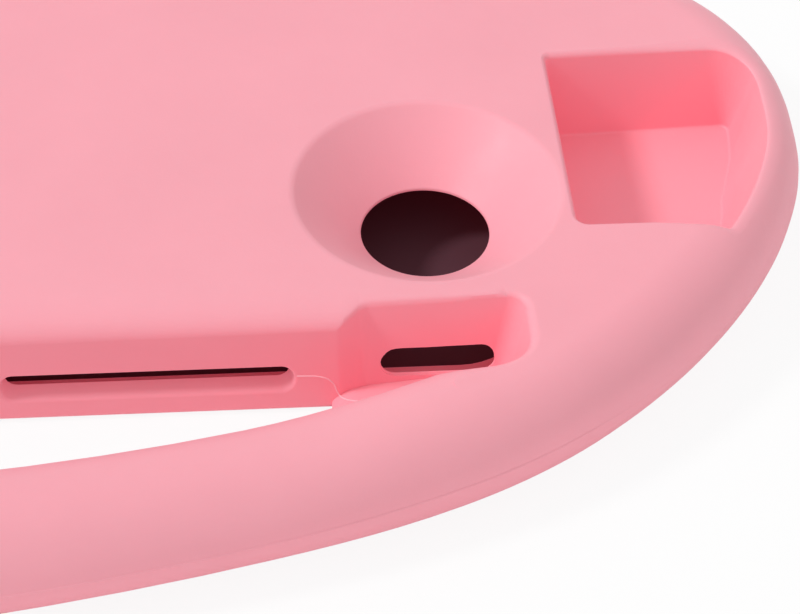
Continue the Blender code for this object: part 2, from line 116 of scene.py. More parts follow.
def length(name, default, description):
    """A length property in metres."""
    return FloatProperty(
        name=name,
        description=description,
        default=default,
        min=0.0,
        precision=5,
        subtype="DISTANCE",
        unit="LENGTH",
    )


def turn(name, default, description):
    """An angle property."""
    return FloatProperty(
        name=name,
        description=description,
        default=math.radians(default),
        subtype="ANGLE",
        unit="ROTATION",
    )


def fraction(name, default, description):
    """A property between nought and one."""
    return FloatProperty(
        name=name,
        description=description,
        default=default,
        min=0.0,
        max=1.0,
        subtype="FACTOR",
    )


def tint(name, default, description):
    """A colour property."""
    return FloatVectorProperty(
        name=name,
        description=description,
        default=default,
        min=0.0,
        max=1.0,
        size=3,
        subtype="COLOR",
    )


class CaseBody(bpy.types.PropertyGroup):
    """Sizes of the foam round the device."""

    device_length: length("Device length", 0.2486, "Long side of the device")
    device_width: length("Device width", 0.1795, "Short side of the device")
    device_thickness: length("Device thickness", 0.007, "Thickness of the device")
    device_corner: length("Device corner", 0.009, "Corner radius of the device")
    clearance: length("Clearance", 0.00025, "Room between the device and the foam")
    back_wall: length("Back wall", 0.00795, "Foam behind the device")
    lip_thickness: length("Lip thickness", 0.0015, "Thickness of the lip over the screen's edge")
    lip_overlap: length("Lip overlap", 0.003, "How far the lip reaches over the device")
    handle_side_wall: length("Handle side wall", 0.0025, "Side wall that faces the handle")
    outer_wall: length("Outer wall", 0.009, "Walls at the ends and on the far side")
    far_corner: length("Far corner", 0.022, "Outer radius of the corners away from the handle")
    crown_width: length("Crown width", 0.0052, "Width of the soft back edge beside the recess")
    crown_drop: length("Crown drop", 0.003, "Height of the soft back edge beside the recess")
    crown_middle_width: length("Crown width, middle", 0.0068, "Width of the soft back edge at mid-length")
    crown_middle_drop: length("Crown drop, middle", 0.004, "Height of the soft back edge at mid-length")
    foot_radius: length("Foot radius", 0.0009, "Rounding of the lower edge in the hand gap")


class CaseHandle(bpy.types.PropertyGroup):
    """Sizes of the ears and of the carry handle between them."""

    ear_reach: length("Ear reach", 0.0363, "How far an ear stands out past the device's end")
    ear_tip: length("Ear tip", 0.03935, "Outermost point of an ear, from the device's long side")
    tip_radius: length("Tip radius", 0.15, "Long arc at the ear's tip, on the side of the handle")
    tip_turn: turn("Tip turn", 2, "Turn of that arc")
    first_radius: length("Ear radius", 0.034, "Next arc towards the handle")
    first_turn: turn("Ear turn", 16, "Turn of that arc")
    second_radius: length("Shoulder radius", 0.063, "Second arc")
    second_turn: turn("Shoulder turn", 15, "Turn of that arc")
    third_radius: length("Sweep radius", 0.088, "Third arc, round the lens corner")
    third_turn: turn("Sweep turn", 35, "Turn of that arc")
    fourth_radius: length("Root radius", 0.175, "Fourth arc, at the root of the grip")
    fourth_turn: turn("Root turn", 8, "Turn of that arc")
    end_radius: length("Ear end radius", 0.0345, "Arc from the ear's tip towards the end wall")
    end_turn: turn("Ear end turn", 45, "Turn of that arc")
    return_radius: length("Return radius", 0.032, "Hollow arc that runs into the end wall")
    grip_width: length("Grip width", 0.0186, "Width of the handle at its middle")
    grip_root_width: length("Grip root width", 0.0152, "Width of the handle at its root")
    grip_root_drop: length("Grip root drop", 0.0006, "How far the slim part stays under the back face")
    grip_slim_share: fraction("Slim share", 0.8, "Where the handle is slimmest, from its middle to the lens")
    grip_flat: length("Grip flat", 0.0006, "Flat strip along the top of the handle")
    grip_root: length("Grip root", 0.005, "Where the handle ends, past the lens")
    ear_blend: length("Ear blend", 0.015, "Length over which the handle becomes the ear")


class CaseDetails(bpy.types.PropertyGroup):
    """Sizes of the dish, the recess, the windows and the pockets."""

    lens_from_end: length("Lens from end", 0.0154, "Lens axis from the device's end")
    lens_from_side: length("Lens from side", 0.0201, "Lens axis from the device's long side")
    dish_rim: length("Dish rim radius", 0.0173, "Radius of the dish at the back face")
    dish_window: length("Dish window radius", 0.0084, "Radius of the round window")
    dish_land: length("Dish land", 0.0003, "Thickness of the window's edge")
    dish_fillet: length("Dish fillet", 0.0016, "Soft rim of the dish")
    recess_left: length("Recess left", 0.0092, "Left end of the recess from the lens axis")
    recess_right: length("Recess right", 0.0105, "Right end of the recess from the lens axis")
    recess_end_lean: length("Recess end lean", 0.0026, "How far the end wall leans in at its foot")
    recess_depth: length("Recess depth", 0.0022, "Depth of the recess behind the side wall")
    recess_skew: length("Recess skew", 0.0005, "How much deeper the recess is at its right end")
    recess_lean: length("Recess lean", 0.0016, "How far the back wall leans out at its foot")
    recess_slant: length("Recess slant", 0.0031, "Length of the slanted wall at its left end")
    recess_front: length("Recess front corner", 0.0042, "Radius beside the handle's root")
    recess_back: length("Recess back corner", 0.0021, "Radius at the right back corner")
    recess_crease: length("Recess crease", 0.003, "Radius at the left back corner")
    crown_fade_start: fraction("Crown fade start", 0.14, "Where its soft back edge begins, from the right")
    crown_fade_end: fraction("Crown fade end", 0.56, "Where that edge is at its full depth")
    side_corner: length("Side corner", 0.0018, "Radius where the side wall begins")
    recess_rim: length("Recess rim", 0.0007, "Soft rim of the recess")
    recess_end_rim: length("Recess end rim", 0.0012, "Soft rim at its right end")
    recess_front_turn: length("Recess front turn", 0.0032, "How far its front edge bends into the handle")
    recess_front_share: fraction("Recess front share", 0.3, "Share of that edge before the bend")
    web_foot: length("Web foot", 0.0009, "Underside of the web over the floor")
    web_top: length("Web top", 0.0028, "Upper side of the web at its left end")
    web_rise: length("Web rise", 0.0013, "Rise of the web's upper side")
    web_reach: length("Web reach", 0.001, "How far the web reaches past the recess")
    web_end: length("Web end", 0.003, "Length of the rounding at the web's left end")
    key_length: length("Key window length", 0.0143, "Length of the window for the side key")
    key_height: length("Key window height", 0.00395, "Height of that window")
    key_drop: length("Key window drop", 0.00995, "Middle of that window under the back face")
    key_mouth: length("Key window mouth", 0.0002, "Soft edge of that window")
    window_flare: turn("Window flare", 52, "Angle at which the side windows widen towards the device")
    slot_length: length("Slot length", 0.0353, "Length of the side slot")
    slot_height: length("Slot height", 0.0032, "Height of the side slot inside")
    slot_from_lens: length("Slot from lens", 0.0362, "Middle of the slot from the lens axis")
    slot_drop: length("Slot drop", 0.0104, "Middle of the slot under the back face")
    slot_mouth: length("Slot mouth", 0.0003, "Soft edge of the side slot")
    slot_lip_depth: length("Slot lip depth", 0.0018, "Depth of the bevelled lower lip")
    slot_lip_fall: length("Slot lip fall", 0.0012, "Fall of the bevelled lower lip")
    pocket_wall: length("Pocket wall", 0.0028, "Foam between the device and the pocket")
    pocket_slant: length("Pocket slant", 0.0005, "How much thicker that wall is at its near end")
    pocket_far_skew: length("Pocket far skew", 0.0011, "How much nearer the far edge is at its left end")
    pocket_near_skew: length("Pocket near skew", 0.0007, "How much nearer the near edge is at its right end")
    pocket_outer_wall: length("Pocket outer wall", 0.005, "Foam outside the pocket")
    pocket_floor: length("Pocket floor", 0.0024, "Foam under the pocket")
    pocket_far: length("Pocket far edge", 0.0476, "Far edge from the device's long side")
    pocket_near: length("Pocket near edge", 0.0127, "Near edge from the device's long side")
    pocket_lean: length("Pocket lean", 0.0046, "How far the outer wall leans in at the floor")
    pocket_lean_run: length("Pocket lean run", 0.016, "Distance over which the lean grows")
    pocket_draft: length("Pocket draft", 0.0005, "Draft of the other walls")
    pocket_corner: length("Pocket corner", 0.0016, "Radius of the pocket's corners")
    pocket_rim: length("Pocket rim", 0.0009, "Soft rim of the pocket")
    pocket_outer_rim: length("Pocket outer rim", 0.0032, "Width of that rim beside the ear's outer edge")
    pocket_foot: length("Pocket foot", 0.0004, "Rounding where the walls meet the floor")
    pocket_side_foot: length("Pocket side foot", 0.0005, "Rounding at the foot of the outer wall")
    pocket_far_corner: length("Pocket far corner", 0.006, "Radius at the top of the outer wall's far corner")
    pocket_foot_corner: length("Pocket foot corner", 0.0018, "Radius of that corner at the floor")
    ridge: length("Parting ridge", 0.00012, "Height of the fine ridge where the mould parted")
    ridge_width: length("Parting ridge width", 0.0005, "Width of that ridge")
    thread: length("Parting thread", 0.0001, "Radius of the fine thread on the side wall")


class CaseFinish(bpy.types.PropertyGroup):
    """Colour and surface of the foam, and fineness of the mesh."""

    foam_colour: tint("Foam colour", (0.965, 0.39, 0.46), "Colour of the foam")
    # The thread's colour is the foam's pink made lighter, a painted highlight along the ridge.
    thread_painted_highlight_colour: tint("Thread colour", (1.0, 0.62, 0.68), "Colour of the thin foam along the parting line")
    roughness: fraction("Roughness", 0.5, "Roughness of the foam's skin")
    # Painted light: the foam gives off red light in its hollows, standing in for light bounced many times
    # there.
    painted_bounce_glow: fraction("Glow", 0.08, "Light that the foam passes on in its deepest hollows")
    painted_bounce_glow_colour: tint("Glow colour", (1.0, 0.12, 0.2), "Colour of that light")
    # The floor's colour under the case is painted shade.
    shade_colour: tint("Shade colour", (0.11, 0.045, 0.06), "Colour of the floor where the case covers it")
    floor_brightness: fraction("Floor brightness", 0.9, "Share of its shading that is washed out to white")
    bend_step: turn("Bend step", 1.5, "Angle between places along a bend")
    edge_steps: IntProperty(
        name="Edge steps", description="Facets over each quarter of a round edge", default=10, min=2, max=40
    )
    corner_steps: IntProperty(
        name="Corner steps", description="Facets round each small corner", default=10, min=2, max=40
    )


def body():
    return bpy.context.scene.case_body


def grip():
    return bpy.context.scene.case_handle


def details():
    return bpy.context.scene.case_details


def finish():
    return bpy.context.scene.case_finish


def half_length():
    return body().device_length / 2 + body().clearance


def half_width():
    return body().device_width / 2 + body().clearance


def cavity_height():
    return body().device_thickness + body().clearance


def height():
    return body().lip_thickness + cavity_height() + body().back_wall


def middle():
    return height() / 2


def side_wall_y():
    return -half_width() - body().handle_side_wall


def lens_x():
    return half_length() - details().lens_from_end


def lens_y():
    return -half_width() + details().lens_from_side


def ear_tip():
    return Vector((half_length() + grip().ear_reach, -half_width() + grip().ear_tip))


def row_shift():
    """From the device's middle to the middle of the whole piece."""
    far = half_width() + body().outer_wall
    reach = -ear_to_handle()[-1][0].y
    return (reach - far) / 2


def turned(direction, angle):
    """The direction after a turn to the left."""
    return direction @ Matrix.Rotation(-angle, 2)


def arc(start, heading, radius, angle):
    """Points and headings of an arc that turns right, or left for a negative angle, and its last heading."""
    steps = max(1, math.ceil(abs(angle) / finish().bend_step))
    side = -1 if angle > 0 else 1
    centre = start + turned(heading, QUARTER * side) * radius
    spoke = start - centre
    places = []
    for i in range(1, steps + 1):
        bend = -angle * i / steps
        places.append((centre + turned(spoke, bend), turned(heading, bend)))
    return places, turned(heading, -angle)


def ear_to_handle():
    """The outer outline from the ear's tip to the middle of the handle, as points and outward ways."""
    g = grip()
    point, heading = ear_tip(), Vector((0, -1))
    line = [(point, turned(heading, QUARTER))]
    arcs = [
        (g.tip_radius, g.tip_turn),
        (g.first_radius, g.first_turn),
        (g.second_radius, g.second_turn),
        (g.third_radius, g.third_turn),
        (g.fourth_radius, g.fourth_turn),
    ]
    left = QUARTER - sum(angle for _, angle in arcs)
    for radius, angle in arcs:
        places, last = arc(point, heading, radius, angle)
        line += [(p, turned(way, QUARTER)) for p, way in places]
        point, heading = places[-1][0], last
    places, _ = arc(point, heading, point.x / math.sin(left), left)
    line += [(p, turned(way, QUARTER)) for p, way in places]
    line[-1] = (Vector((0, places[-1][0].y)), Vector((0, -1)))
    return line


def ear_to_far_side():
    """The outer outline from the ear's tip along the end wall to the middle of the far side."""
    g, b = grip(), body()
    end_x = half_length() + b.outer_wall
    far_y = half_width() + b.outer_wall
    places, heading = arc(ear_tip(), Vector((0, 1)), g.end_radius, -g.end_turn)
    sideways = places[-1][0].x - end_x - g.return_radius * (1 - math.cos(g.end_turn))
    point = places[-1][0] + heading * (sideways / math.sin(g.end_turn))
    places.append((point, heading))
    back, _ = arc(point, heading, g.return_radius, g.end_turn)
    corner = Vector((end_x, far_y - b.far_corner))
    round_corner, _ = arc(corner, Vector((0, 1)), b.far_corner, -QUARTER)
    places += back + [(corner, Vector((0, 1)))] + round_corner
    line = [(p, turned(way, -QUARTER)) for p, way in places]
    line.append((Vector((0, far_y)), Vector((0, 1))))
    return line


def outer_line():
    """The outer outline of the right half, from the middle of the handle to the middle of the far side."""
    line = ear_to_handle()
    line.reverse()
    return line + ear_to_far_side()


def blend(low, high, share):
    """A smooth step from low to high."""
    share = min(max(share, 0.0), 1.0)
    return low + (high - low) * (1 - math.cos(math.pi * share)) / 2


def grip_width(point):
    return blend(grip().grip_width, grip().grip_root_width, point.x / lens_x())


def grip_half(point):
    return min((grip_width(point) - grip().grip_flat) / 2, middle())


def grip_drop(point):
    """The handle is slimmer near its root, and comes back up to the back face where the ear begins."""
    slim = grip().grip_slim_share
    along = point.x / lens_x()
    drop = grip().grip_root_drop
    if along < slim:
        return blend(0, drop, along / slim)
    return blend(drop, 0, (along - slim) / (1 - slim))


def rounded(corners, radii, steps):
    """A path through corners with a fillet at each one that has a radius."""
    path = [corners[0]]
    for before, corner, after, radius in zip(corners, corners[1:], corners[2:], radii):
        if radius <= 0:
            path.append(corner)
            continue
        toward = (before - corner).normalized()
        away = (after - corner).normalized()
        half = toward.angle(away) / 2
        setback = radius / math.tan(half)
        centre = corner + (toward + away).normalized() * (radius / math.sin(half))
        first = corner + toward * setback - centre
        last = corner + away * setback - centre
        sweep = first.angle_signed(last)
        path += [centre + first @ Matrix.Rotation(sweep * i / steps, 2) for i in range(steps + 1)]
    return path + [corners[-1]]


def ways_left(path):
    """The way square to a path at each of its points, on its left."""
    ways = []
    for i in range(len(path)):
        before = path[max(i - 1, 0)]
        after = path[min(i + 1, len(path) - 1)]
        ways.append(turned((after - before).normalized(), QUARTER))
    return ways


class Station:
    """One place along an outline: the wall at its top and its foot, the way out, and the edge roundings."""

    def __init__(self, point, outward, width, drop, sink=0.0):
        self.point = point
        self.outward = outward
        self.width = width
        self.drop = drop
        self.sink = sink
        self.foot_point = point
        self.foot_width = width
        self.foot_drop = drop
        self.sweep = QUARTER
        self.rim = 0.0

    def cut_back(self, depth):
        """The wall stands this far behind the top rounding's end and cuts it short, with a small rim."""
        depth = max(depth, 0.0)
        self.sweep = math.asin(max(1 - depth / self.width, 0.0))
        self.rim = min(depth, details().recess_rim)

    def rim_drop(self, behind):
        """How far the small rim falls at a distance behind the wall."""
        if behind >= self.rim:
            return 0.0
        return self.rim * (1 - math.sqrt(1 - (1 - behind / self.rim) ** 2))

    def section(self):
        """Points from the top crest over the edge down to the bottom crest, each edge part of an ellipse."""
        steps = finish().edge_steps
        rows = []
        for i in range(steps + 1):
            angle = self.sweep * i / steps
            behind = self.width * (math.sin(self.sweep) - math.sin(angle))
            spot = self.point - self.outward * behind
            down = self.drop * (1 - math.cos(angle)) + self.rim_drop(behind)
            rows.append((spot, height() - self.sink - down))
        for i in range(steps + 1):
            angle = QUARTER * i / steps
            spot = self.foot_point - self.outward * (self.foot_width * (1 - math.cos(angle)))
            rows.append((spot, self.sink + self.foot_drop * (1 - math.sin(angle))))
        return [Vector((spot.x, spot.y, z)) for spot, z in rows]


class RoundStation(Station):
    """A place with a full round edge, and the fine ridge where the two halves of the mould met."""

    def __init__(self, point, outward, width, sink, ridge):
        super().__init__(point, outward, width, middle() - sink, sink)
        self.ridge = ridge

    def section(self):
        steps = finish().edge_steps
        half = details().ridge_width / 2
        sweep = math.acos(half / self.drop)
        rows = []
        for i in range(steps + 1):
            angle = sweep * i / steps
            rows.append((self.width * (math.sin(angle) - 1), middle() + self.drop * math.cos(angle)))
        mirrored = [(out, 2 * middle() - z) for out, z in reversed(rows)]
        for rise, height_share in RIDGE_SHAPE:
            rows.append((self.ridge * height_share, middle() + half * rise))
        rows += mirrored
        spots = [(self.point + self.outward * out, z) for out, z in rows]
        return [Vector((spot.x, spot.y, z)) for spot, z in spots]


def outer_stations():
    """The outer edge of the right half: handle, ear, end wall and far side, with a full round edge."""
    stations = []
    tip = ear_tip()
    blend_starts = lens_x() + details().recess_right + grip().grip_root
    for point, outward in outer_line():
        if point.y < tip.y:
            share = (point.x - blend_starts) / grip().ear_blend
            width = blend(grip_half(point), middle(), share)
            ridge = blend(details().ridge, 0.0, share)
            stations.append(RoundStation(point, outward, width, grip_drop(point), ridge))
        else:
            stations.append(RoundStation(point, outward, middle(), 0.0, 0.0))
    return stations


def grip_line():
    """The outline places that belong to the handle, from its middle to its root."""
    line = [place for place in ear_to_handle() if place[0].x < lens_x() + grip().grip_root]
    line.reverse()
    return line


def recess_path(foot):
    """The wall from the handle's root round the recess to the side wall's middle, at its top or its foot."""
    d = details()
    point, outward = grip_line()[-1]
    start = point - outward * grip_width(point)
    left = lens_x() - d.recess_left
    right = lens_x() + d.recess_right
    back = side_wall_y() + d.recess_depth
    skew = d.recess_skew
    if foot:
        right -= d.recess_end_lean
        back -= d.recess_lean
        skew = 0.0
    front = Vector((right, start.y - d.recess_front_turn))
    steps = finish().corner_steps
    back_left = Vector((left, back))
    back_right = Vector((right, back + skew))
    fade_from = back_right.lerp(back_left, d.crown_fade_start)
    fade_to = back_right.lerp(back_left, d.crown_fade_end)
    fade = [fade_from.lerp(fade_to, i / steps) for i in range(steps + 1)]
    corners = [start, start.lerp(front, d.recess_front_share), front, back_right]
    corners += fade
    corners += [
        back_left,
        Vector((left - d.recess_slant, side_wall_y())),
        Vector((0, side_wall_y())),
    ]
    radii = [0, d.recess_front, d.recess_back] + [0] * len(fade) + [d.recess_crease, d.side_corner]
    return rounded(corners, radii, steps)


def gap_stations():
    """The edge of the hand gap and the recess, from the handle's middle round to the side wall's middle."""
    d, b = details(), body()
    stations = []
    for point, outward in grip_line():
        inner = point - outward * grip_width(point)
        sink = grip_drop(point)
        stations.append(Station(inner, -outward, grip_half(point), middle() - sink, sink))
    path = recess_path(foot=False)
    feet = recess_path(foot=True)
    ways = ways_left(path)
    corner = finish().corner_steps + 1
    front_ends = corner + 1
    back_ends = front_ends + corner
    outline = [p for p, _ in ear_to_handle()]
    width = stations[-1].width
    beside = width + grip().grip_flat
    for i in range(1, len(path)):
        if i <= front_ends:
            room = inside_by(path[i], outline) - beside
            width = max(min(width, room), d.recess_end_rim)
            station = Station(path[i], ways[i], width, width)
        elif i <= back_ends:
            width = blend(d.recess_end_rim, d.recess_rim, (i - front_ends) / corner)
            station = Station(path[i], ways[i], width, width)
        else:
            drop = blend(0, b.crown_drop, (i - back_ends - 1) / finish().corner_steps)
            station = Station(path[i], Vector((0, -1)), b.crown_width, min(drop, middle()))
            station.cut_back(path[i].y - side_wall_y())
        if i == len(path) - 1:
            station.width = b.crown_middle_width
            station.drop = min(b.crown_middle_drop, middle())
        station.foot_point = feet[i]
        station.foot_width = b.foot_radius
        station.foot_drop = b.foot_radius
        stations.append(station)
    return stations


def chain(bm, points, closed=False):
    """New vertices joined by edges, in order."""
    verts = [bm.verts.new(p) for p in points]
    ends = verts[1:] + verts[:1] if closed else verts[1:]
    return [bm.edges.new(pair) for pair in zip(verts, ends)]


def skin(bm, rings):
    """Bridges each line of edges to the next one."""
    for low, high in zip(rings, rings[1:]):
        bmesh.ops.bridge_loops(bm, edges=low + high)


def level_chains(bm, stations):
    """One line of edges for each level of the stations' sections."""
    sections = [s.section() for s in stations]
    return [chain(bm, [rows[k] for rows in sections]) for k in range(len(sections[0]))]


def to_mesh(bm, name):
    bmesh.ops.remove_doubles(bm, verts=bm.verts, dist=WELD)
    bmesh.ops.recalc_face_normals(bm, faces=bm.faces)
    if bm.calc_volume(signed=True) < 0:
        bmesh.ops.reverse_faces(bm, faces=bm.faces)
    mesh = bpy.data.meshes.new(name)
    bm.to_mesh(mesh)
    bm.free()
    return mesh


def shell_mesh():
    """The foam without its hollows: bridged lines round the edges, flats between them, both halves alike."""
    bm = bmesh.new()
    outer = level_chains(bm, outer_stations())
    inner = level_chains(bm, gap_stations())
    skin(bm, outer)
    skin(bm, inner)
    pairs = len(grip_line()) - 1
    for level in (0, -1):
        bmesh.ops.bridge_loops(bm, edges=outer[level][:pairs] + inner[level][:pairs])
        rim = outer[level][pairs:] + inner[level][pairs:]
        far = outer[level][-1].verts[1]
        near = inner[level][-1].verts[1]
        root = bm.edges.get((outer[level][pairs].verts[0], inner[level][pairs].verts[0]))
        rim += [bm.edges.new((far, near)), root]
        bmesh.ops.contextual_create(bm, geom=rim)
    bmesh.ops.mirror(bm, geom=bm.verts[:] + bm.edges[:] + bm.faces[:], axis="X", merge_dist=WELD)
    return to_mesh(bm, "foam")


def plate(bm, outline, low, high):
    """A closed plate over a flat outline, and its upper vertices."""
    chain(bm, [Vector((p.x, p.y, low)) for p in outline], closed=True)
    base = bmesh.ops.contextual_create(bm, geom=bm.edges[:])["faces"]
    grown = bmesh.ops.extrude_face_region(bm, geom=base)
    top = [v for v in grown["geom"] if isinstance(v, bmesh.types.BMVert)]
    bmesh.ops.translate(bm, verts=top, vec=(0, 0, high - low))
    return top


def rounded_rectangle(half_x, half_y, radius):
    corners = [Vector((half_x, 0))]
    corners += [Vector((half_x * sx, half_y * sy)) for sx, sy in ((1, 1), (-1, 1), (-1, -1), (1, -1))]
    corners.append(Vector((half_x, 0)))
    return rounded(corners, [radius] * 4, finish().corner_steps)[:-1]


def loft(rings, name):
    """A closed body through rings of points: each ring is the one before it, extruded and moved."""
    bm = bmesh.new()
    edges = chain(bm, rings[0], closed=True)
    numbers = {edge.verts[0]: i for i, edge in enumerate(edges)}
    bmesh.ops.contextual_create(bm, geom=edges)
    for ring in rings[1:]:
        grown = bmesh.ops.extrude_edge_only(bm, edges=edges)["geom"]
        edges = [part for part in grown if isinstance(part, bmesh.types.BMEdge)]
        new = {}
        for vert in (part for part in grown if isinstance(part, bmesh.types.BMVert)):
            below = next(e.other_vert(vert) for e in vert.link_edges if e.other_vert(vert) in numbers)
            new[vert] = numbers[below]
            vert.co = ring[new[vert]]
        numbers = new
    bmesh.ops.contextual_create(bm, geom=edges)
    return to_mesh(bm, name)


def height_on(line, x):
    """The y of a line of points at x, between its points."""
    for a, b in zip(line, line[1:]):
        if min(a.x, b.x) <= x <= max(a.x, b.x):
            return a.lerp(b, (x - a.x) / (b.x - a.x)).y
    return line[-1].y


def web_mesh():
    """The floor of the recess ties the handle's root to the side wall, and is round at its left end."""
    d = details()
    left = lens_x() - d.recess_left - d.recess_slant - d.web_reach
    right = lens_x() + d.recess_right + d.recess_end_rim
    back = side_wall_y() + d.recess_depth
    front = [p - way * (middle() + d.recess_rim) for p, way in ear_to_handle()]
    end_fall = (d.web_top - d.web_foot) * WEB_END_SHARE
    spots = []
    steps = finish().corner_steps
    for i in range(steps + 1):
        angle = QUARTER * i / steps
        spots.append((left + d.web_end * (1 - math.cos(angle)), end_fall * (1 - math.sin(angle))))
    spots.append((right, 0.0))
    rings = []
    for x, fall in spots:
        top = d.web_top + d.web_rise * (x - left) / (lens_x() - left) - fall
        y = height_on(front, x)
        rings.append([(x, y, d.web_foot), (x, back, d.web_foot), (x, back, top), (x, y, top)])
    return loft(rings, "web")


def cavity_mesh():
    """The space for the device."""
    bm = bmesh.new()
    low = body().lip_thickness
    outline = rounded_rectangle(half_length(), half_width(), body().device_corner)
    plate(bm, outline, low, low + cavity_height())
    return to_mesh(bm, "cavity")


def front_opening_mesh():
    """The opening over the screen, with a soft inner edge on the lip."""
    b = body()
    soft = b.lip_thickness / LIP_PER_EDGE
    bend = soft * LIP_EDGE_BEND
    rings = []
    top = b.lip_thickness * 2
    for z, grow in ((-PAST, soft), (0, soft), (bend, bend), (soft, 0), (top, 0)):
        half_x = half_length() - b.lip_overlap + grow
        half_y = half_width() - b.lip_overlap + grow
        outline = rounded_rectangle(half_x, half_y, b.device_corner)
        rings.append([(p.x, p.y, z) for p in outline])
    return loft(rings, "front_opening")


def dish_mesh():
    """The conical dish, its soft rim and its round window, as a turned profile."""
    d, b = details(), body()
    land = height() - b.back_wall + d.dish_land
    lean = math.atan2(height() - land, d.dish_rim - d.dish_window)
    centre_x = d.dish_rim + d.dish_fillet * math.tan(lean / 2)
    centre_z = height() - d.dish_fillet
    profile = [(0.0, height() + PAST), (centre_x, height() + PAST)]
    steps = finish().corner_steps
    for i in range(steps + 1):
        angle = lean * i / steps
        out = centre_x - d.dish_fillet * math.sin(angle)
        profile.append((out, centre_z + d.dish_fillet * math.cos(angle)))
    soft = d.dish_land * WINDOW_EDGE_SHARE
    toe = Vector((d.dish_window + soft * math.cos(lean), land + soft * math.sin(lean)))
    profile.append((toe.x, toe.y))
    profile += [(d.dish_window + soft * out, land + soft * up) for out, up in WINDOW_EDGE]
    floor = b.lip_thickness + cavity_height() / 2
    profile += [(d.dish_window, floor), (0.0, floor)]
    bm = bmesh.new()
    edges = chain(bm, [Vector((x, 0, z)) for x, z in profile])
    bmesh.ops.spin(
        bm,
        geom=bm.verts[:] + edges,
        cent=(0, 0, 0),
        axis=(0, 0, 1),
        angle=math.tau,
        steps=DISH_STEPS,
        use_merge=True,
    )
    bmesh.ops.remove_doubles(bm, verts=bm.verts, dist=WELD)
    bmesh.ops.translate(bm, verts=bm.verts, vec=(lens_x(), lens_y(), 0))
    return to_mesh(bm, "dish")


def stadium(size, tall, steps):
    """A lying outline with round ends."""
    radius = tall / 2
    outline = []
    for side in (1, -1):
        for i in range(steps + 1):
            angle = math.pi * (i / steps - 0.5)
            x = side * (size / 2 - radius + radius * math.cos(angle))
            outline.append(Vector((x, side * radius * math.sin(angle))))
    return outline


def window_mesh(name, centre_x, drop, size, tall, face_y, soft, lip_depth=0.0, lip_fall=0.0):
    """A window through the side wall: round ends, a soft mouth, a bevelled lower lip, and wider inside."""
    outline = stadium(size, tall, finish().corner_steps)
    layers = [(face_y - PAST, soft)]
    for i in range(MOUTH_STEPS + 1):
        angle = QUARTER * i / MOUTH_STEPS
        layers.append((face_y + soft * (1 - math.cos(angle)), soft * (1 - math.sin(angle))))
    deepest = max(lip_depth, soft)
    if lip_depth > soft:
        layers.append((face_y + lip_depth, 0.0))
    inner = -half_width() + soft
    layers.append((inner, (inner - face_y - deepest) * math.tan(details().window_flare)))
    slope = lip_fall / lip_depth if lip_depth else 0.0
    rings = []
    for y, grow in layers:
        fall = slope * max(face_y + lip_depth - max(y, face_y), 0)
        ring = []
        for p in outline:
            x = p.x * (1 + (fall + 2 * grow) / size)
            z = p.y * (1 + 2 * grow / tall) - fall * (0.5 - p.y / tall)
            ring.append((centre_x + x, y, height() - drop + z))
        rings.append(ring)
    return loft(rings, name)


def pocket_outline(outer, far_corner):
    """The pocket's wall: straight on three sides, beside the ear's outer edge on the fourth."""
    d = details()
    left = half_length() + d.pocket_wall
    far = -half_width() + d.pocket_far
    near = -half_width() + d.pocket_near
    near_right = near - d.pocket_near_skew
    curve = [p - way * d.pocket_outer_wall for p, way in outer]
    crossing = []
    for before, after in zip(curve, curve[1:]):
        for level in (near_right, far):
            if before.x > left and (before.y - level) * (after.y - level) < 0:
                crossing.append(before.lerp(after, (level - before.y) / (after.y - before.y)))
    low, high = near_right + d.pocket_corner, far - d.pocket_far_corner
    curve = [p for p in curve if low < p.y < high and p.x > left]
    near_left = Vector((left + d.pocket_slant, near))
    halfway = near_left.lerp(Vector((crossing[0].x, near)), 0.5)
    far_left = Vector((left, far - d.pocket_far_skew))
    steps = finish().corner_steps
    near_edge = [halfway.lerp(crossing[0], i / steps) for i in range(steps - 1)]
    far_edge = [far_left.lerp(crossing[1], i / steps) for i in range(1, steps - 2)]
    far_edge.reverse()
    corners = near_edge + [crossing[0]] + curve + [crossing[1]] + far_edge
    corners += [far_left, near_left, halfway]
    radii = [0.0] * (len(near_edge) - 1) + [d.pocket_corner / 2] + [0.0] * len(curve) + [far_corner]
    radii += [0.0] * len(far_edge) + [d.pocket_corner / 2, d.pocket_corner]
    return rounded(corners, radii, steps)[:-1]


def inside_by(spot, outline):
    """How far a spot lies inside the outer outline."""
    nearest = math.inf
    for a, b in zip(outline, outline[1:]):
        edge = b - a
        along = min(max((spot - a).dot(edge) / edge.length_squared, 0), 1)
        nearest = min(nearest, (spot - a - edge * along).length)
    return nearest


def back_height(spot, outline):
    """The height of the ear's upper surface over a spot: flat, then falling over the round edge."""
    mid = middle()
    inside = inside_by(spot, outline)
    if inside >= mid:
        return height()
    return mid + math.sqrt(max(mid**2 - (mid - inside) ** 2, 0))


def outward_ways(ring):
    """The way out of a closed ring at each of its points."""
    return [-way for way in ways_left([ring[-1]] + ring + [ring[0]])[1:-1]]


